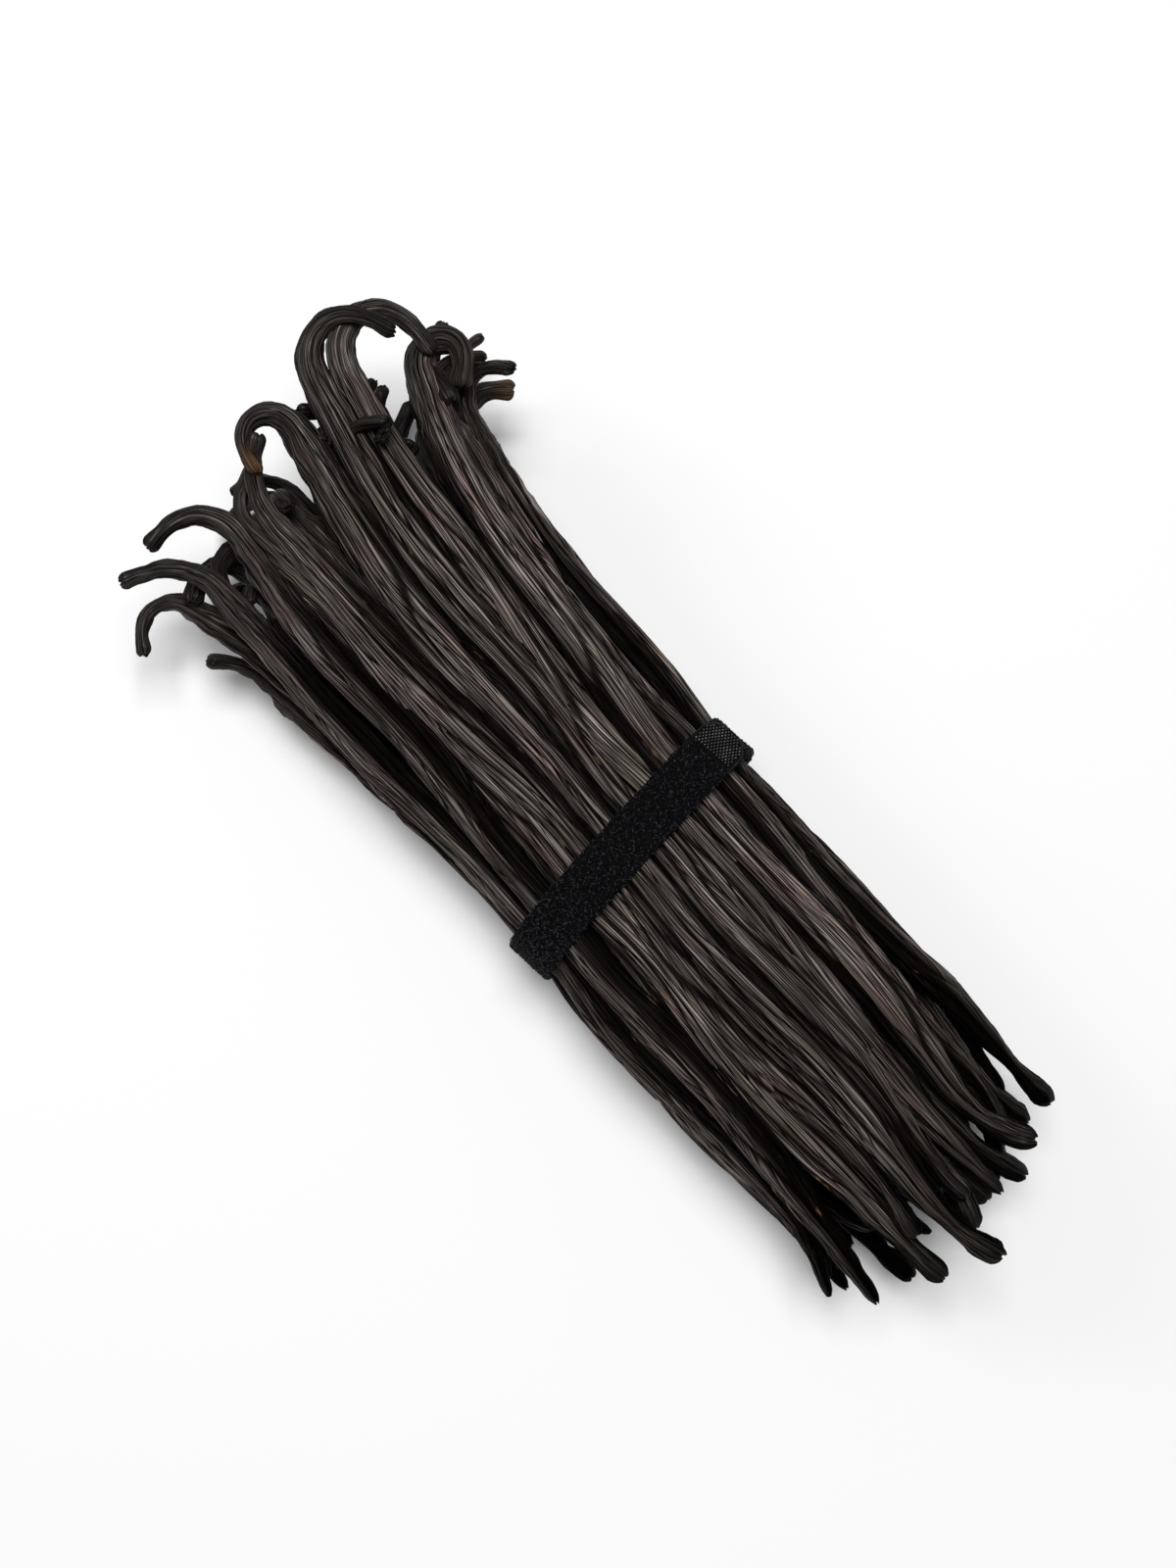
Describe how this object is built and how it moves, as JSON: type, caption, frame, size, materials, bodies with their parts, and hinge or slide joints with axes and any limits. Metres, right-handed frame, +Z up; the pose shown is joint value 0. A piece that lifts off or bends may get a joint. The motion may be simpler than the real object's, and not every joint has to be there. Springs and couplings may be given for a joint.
{
  "type": "bundle of vanilla pods",
  "caption": "Strapped bundle of whole cured vanilla pods lying on its side, stalks curling out at one end and blossom tips at the other; a baking and flavouring ingredient.",
  "frame": {"origin": "on the flat underside of the strap, under the middle of the bundle's waist, which is on the surface that the bundle lies on", "axes": "+X along the pods towards their blossom ends, with the curled stalks at -X; +Y towards the side on which the strap's end is lapped; +Z up"},
  "size_m": [0.2001, 0.0898, 0.0482],
  "materials": {
    "pods": "wrinkled, waxy, soft sheen",
    "strap": "looped pile, matte"
  },
  "bodies": {
    "root": {"pods": "pods", "strap": "strap"}
  },
  "joints": []
}
